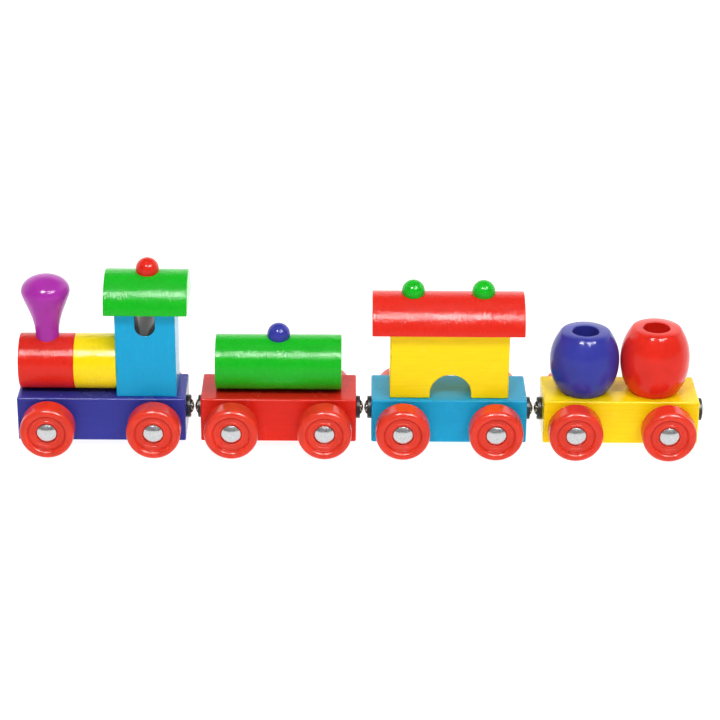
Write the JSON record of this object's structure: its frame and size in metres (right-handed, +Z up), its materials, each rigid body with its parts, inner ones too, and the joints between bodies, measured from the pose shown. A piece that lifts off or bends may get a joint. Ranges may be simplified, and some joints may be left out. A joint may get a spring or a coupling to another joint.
{
  "type": "wooden toy train",
  "caption": "Painted wooden toy train: a steam locomotive pulling a tank wagon, a house wagon and a barrel wagon, joined by ring-magnet couplings, with free-turning wheels on steel axles.",
  "frame": {"origin": "on the floor under the middle of the whole train", "axes": "+X along the train towards the last wagon (the locomotive is at low X), +Y across the train, +Z up"},
  "size_m": [0.3896, 0.0658, 0.109],
  "materials": {
    "indigo_lacquer": "glossy indigo lacquer over beech",
    "sky_lacquer": "glossy light blue lacquer over beech",
    "green_lacquer": "glossy leaf green lacquer over beech",
    "red_lacquer": "glossy scarlet lacquer over beech",
    "yellow_lacquer": "glossy yellow lacquer over beech",
    "purple_lacquer": "glossy purple lacquer over turned beech",
    "wheel_lacquer": "glossy orange-red lacquer over turned beech",
    "raw_dowel": "unpainted birch, smooth",
    "cap_steel": "bright zinc-plated spring steel",
    "axle_steel": "drawn steel wire, satin",
    "ferrite": "black sintered ferrite, satin",
    "screw_nickel": "nickel-plated steel, polished"
  },
  "bodies": {
    "locomotive": {"loco_chassis": "indigo_lacquer", "loco_boiler_front": "red_lacquer", "loco_boiler_rear": "yellow_lacquer", "loco_boiler_dowels": "raw_dowel", "loco_chimney": "purple_lacquer", "loco_cab": "sky_lacquer", "loco_cab_roof": "green_lacquer", "loco_roof_knob": "red_lacquer", "loco_magnet": "ferrite", "loco_screw": "screw_nickel"},
    "tank_wagon": {"tank_chassis": "red_lacquer", "tank_cylinder": "green_lacquer", "tank_dowels": "raw_dowel", "tank_knob": "indigo_lacquer", "tank_magnets": "ferrite", "tank_screws": "screw_nickel"},
    "house_wagon": {"house_chassis": "sky_lacquer", "house_block": "yellow_lacquer", "house_roof": "red_lacquer", "house_knobs": "green_lacquer", "house_magnets": "ferrite", "house_screws": "screw_nickel"},
    "barrel_wagon": {"barrel_chassis": "yellow_lacquer", "barrel_front_barrel": "indigo_lacquer", "barrel_rear_barrel": "red_lacquer", "barrel_dowels": "raw_dowel", "barrel_magnets": "ferrite", "barrel_screws": "screw_nickel"},
    "loco_front_axle_set": {"loco_front_axle": "axle_steel", "loco_front_caps": "cap_steel"},
    "loco_wheel_front_left": {"loco_wheel_front_left": "wheel_lacquer"},
    "loco_wheel_front_right": {"loco_wheel_front_right": "wheel_lacquer"},
    "loco_rear_axle_set": {"loco_rear_axle": "axle_steel", "loco_rear_caps": "cap_steel"},
    "loco_wheel_rear_left": {"loco_wheel_rear_left": "wheel_lacquer"},
    "loco_wheel_rear_right": {"loco_wheel_rear_right": "wheel_lacquer"},
    "tank_front_axle_set": {"tank_front_axle": "axle_steel", "tank_front_caps": "cap_steel"},
    "tank_wheel_front_left": {"tank_wheel_front_left": "wheel_lacquer"},
    "tank_wheel_front_right": {"tank_wheel_front_right": "wheel_lacquer"},
    "tank_rear_axle_set": {"tank_rear_axle": "axle_steel", "tank_rear_caps": "cap_steel"},
    "tank_wheel_rear_left": {"tank_wheel_rear_left": "wheel_lacquer"},
    "tank_wheel_rear_right": {"tank_wheel_rear_right": "wheel_lacquer"},
    "house_front_axle_set": {"house_front_axle": "axle_steel", "house_front_caps": "cap_steel"},
    "house_wheel_front_left": {"house_wheel_front_left": "wheel_lacquer"},
    "house_wheel_front_right": {"house_wheel_front_right": "wheel_lacquer"},
    "house_rear_axle_set": {"house_rear_axle": "axle_steel", "house_rear_caps": "cap_steel"},
    "house_wheel_rear_left": {"house_wheel_rear_left": "wheel_lacquer"},
    "house_wheel_rear_right": {"house_wheel_rear_right": "wheel_lacquer"},
    "barrel_front_axle_set": {"barrel_front_axle": "axle_steel", "barrel_front_caps": "cap_steel"},
    "barrel_wheel_front_left": {"barrel_wheel_front_left": "wheel_lacquer"},
    "barrel_wheel_front_right": {"barrel_wheel_front_right": "wheel_lacquer"},
    "barrel_rear_axle_set": {"barrel_rear_axle": "axle_steel", "barrel_rear_caps": "cap_steel"},
    "barrel_wheel_rear_left": {"barrel_wheel_rear_left": "wheel_lacquer"},
    "barrel_wheel_rear_right": {"barrel_wheel_rear_right": "wheel_lacquer"}
  },
  "joints": [
    {"name": "tank_wagon_coupling", "type": "hinge", "parent": "locomotive", "child": "tank_wagon", "pos_m": [-0.0959, 0, 0.0181], "axis": [0, 0, 1], "range_deg": [-20, 20]},
    {"name": "house_wagon_coupling", "type": "hinge", "parent": "tank_wagon", "child": "house_wagon", "pos_m": [0.00035, 0, 0.0181], "axis": [0, 0, 1], "range_deg": [-20, 20]},
    {"name": "barrel_wagon_coupling", "type": "hinge", "parent": "house_wagon", "child": "barrel_wagon", "pos_m": [0.09705, 0, 0.0181], "axis": [0, 0, 1], "range_deg": [-20, 20]},
    {"name": "loco_front_axle_turn", "type": "hinge", "parent": "locomotive", "child": "loco_front_axle_set", "pos_m": [-0.17705, 0, 0.0152], "axis": [0, 1, 0], "continuous": true},
    {"name": "loco_front_left_wheel_spin", "type": "hinge", "parent": "loco_front_axle_set", "child": "loco_wheel_front_left", "pos_m": [-0.17705, -0.0261, 0.0152], "axis": [0, 1, 0], "continuous": true},
    {"name": "loco_front_right_wheel_spin", "type": "hinge", "parent": "loco_front_axle_set", "child": "loco_wheel_front_right", "pos_m": [-0.17705, 0.0261, 0.0152], "axis": [0, 1, 0], "continuous": true},
    {"name": "loco_rear_axle_turn", "type": "hinge", "parent": "locomotive", "child": "loco_rear_axle_set", "pos_m": [-0.11755, 0, 0.0152], "axis": [0, 1, 0], "continuous": true},
    {"name": "loco_rear_left_wheel_spin", "type": "hinge", "parent": "loco_rear_axle_set", "child": "loco_wheel_rear_left", "pos_m": [-0.11755, -0.0261, 0.0152], "axis": [0, 1, 0], "continuous": true},
    {"name": "loco_rear_right_wheel_spin", "type": "hinge", "parent": "loco_rear_axle_set", "child": "loco_wheel_rear_right", "pos_m": [-0.11755, 0.0261, 0.0152], "axis": [0, 1, 0], "continuous": true},
    {"name": "tank_front_axle_turn", "type": "hinge", "parent": "tank_wagon", "child": "tank_front_axle_set", "pos_m": [-0.07395, 0, 0.0152], "axis": [0, 1, 0], "continuous": true},
    {"name": "tank_front_left_wheel_spin", "type": "hinge", "parent": "tank_front_axle_set", "child": "tank_wheel_front_left", "pos_m": [-0.07395, -0.0261, 0.0152], "axis": [0, 1, 0], "continuous": true},
    {"name": "tank_front_right_wheel_spin", "type": "hinge", "parent": "tank_front_axle_set", "child": "tank_wheel_front_right", "pos_m": [-0.07395, 0.0261, 0.0152], "axis": [0, 1, 0], "continuous": true},
    {"name": "tank_rear_axle_turn", "type": "hinge", "parent": "tank_wagon", "child": "tank_rear_axle_set", "pos_m": [-0.02165, 0, 0.0152], "axis": [0, 1, 0], "continuous": true},
    {"name": "tank_rear_left_wheel_spin", "type": "hinge", "parent": "tank_rear_axle_set", "child": "tank_wheel_rear_left", "pos_m": [-0.02165, -0.0261, 0.0152], "axis": [0, 1, 0], "continuous": true},
    {"name": "tank_rear_right_wheel_spin", "type": "hinge", "parent": "tank_rear_axle_set", "child": "tank_wheel_rear_right", "pos_m": [-0.02165, 0.0261, 0.0152], "axis": [0, 1, 0], "continuous": true},
    {"name": "house_front_axle_turn", "type": "hinge", "parent": "house_wagon", "child": "house_front_axle_set", "pos_m": [0.02235, 0, 0.0152], "axis": [0, 1, 0], "continuous": true},
    {"name": "house_front_left_wheel_spin", "type": "hinge", "parent": "house_front_axle_set", "child": "house_wheel_front_left", "pos_m": [0.02235, -0.0261, 0.0152], "axis": [0, 1, 0], "continuous": true},
    {"name": "house_front_right_wheel_spin", "type": "hinge", "parent": "house_front_axle_set", "child": "house_wheel_front_right", "pos_m": [0.02235, 0.0261, 0.0152], "axis": [0, 1, 0], "continuous": true},
    {"name": "house_rear_axle_turn", "type": "hinge", "parent": "house_wagon", "child": "house_rear_axle_set", "pos_m": [0.07465, 0, 0.0152], "axis": [0, 1, 0], "continuous": true},
    {"name": "house_rear_left_wheel_spin", "type": "hinge", "parent": "house_rear_axle_set", "child": "house_wheel_rear_left", "pos_m": [0.07465, -0.0261, 0.0152], "axis": [0, 1, 0], "continuous": true},
    {"name": "house_rear_right_wheel_spin", "type": "hinge", "parent": "house_rear_axle_set", "child": "house_wheel_rear_right", "pos_m": [0.07465, 0.0261, 0.0152], "axis": [0, 1, 0], "continuous": true},
    {"name": "barrel_front_axle_turn", "type": "hinge", "parent": "barrel_wagon", "child": "barrel_front_axle_set", "pos_m": [0.11945, 0, 0.0152], "axis": [0, 1, 0], "continuous": true},
    {"name": "barrel_front_left_wheel_spin", "type": "hinge", "parent": "barrel_front_axle_set", "child": "barrel_wheel_front_left", "pos_m": [0.11945, -0.0261, 0.0152], "axis": [0, 1, 0], "continuous": true},
    {"name": "barrel_front_right_wheel_spin", "type": "hinge", "parent": "barrel_front_axle_set", "child": "barrel_wheel_front_right", "pos_m": [0.11945, 0.0261, 0.0152], "axis": [0, 1, 0], "continuous": true},
    {"name": "barrel_rear_axle_turn", "type": "hinge", "parent": "barrel_wagon", "child": "barrel_rear_axle_set", "pos_m": [0.17175, 0, 0.0152], "axis": [0, 1, 0], "continuous": true},
    {"name": "barrel_rear_left_wheel_spin", "type": "hinge", "parent": "barrel_rear_axle_set", "child": "barrel_wheel_rear_left", "pos_m": [0.17175, -0.0261, 0.0152], "axis": [0, 1, 0], "continuous": true},
    {"name": "barrel_rear_right_wheel_spin", "type": "hinge", "parent": "barrel_rear_axle_set", "child": "barrel_wheel_rear_right", "pos_m": [0.17175, 0.0261, 0.0152], "axis": [0, 1, 0], "continuous": true}
  ]
}
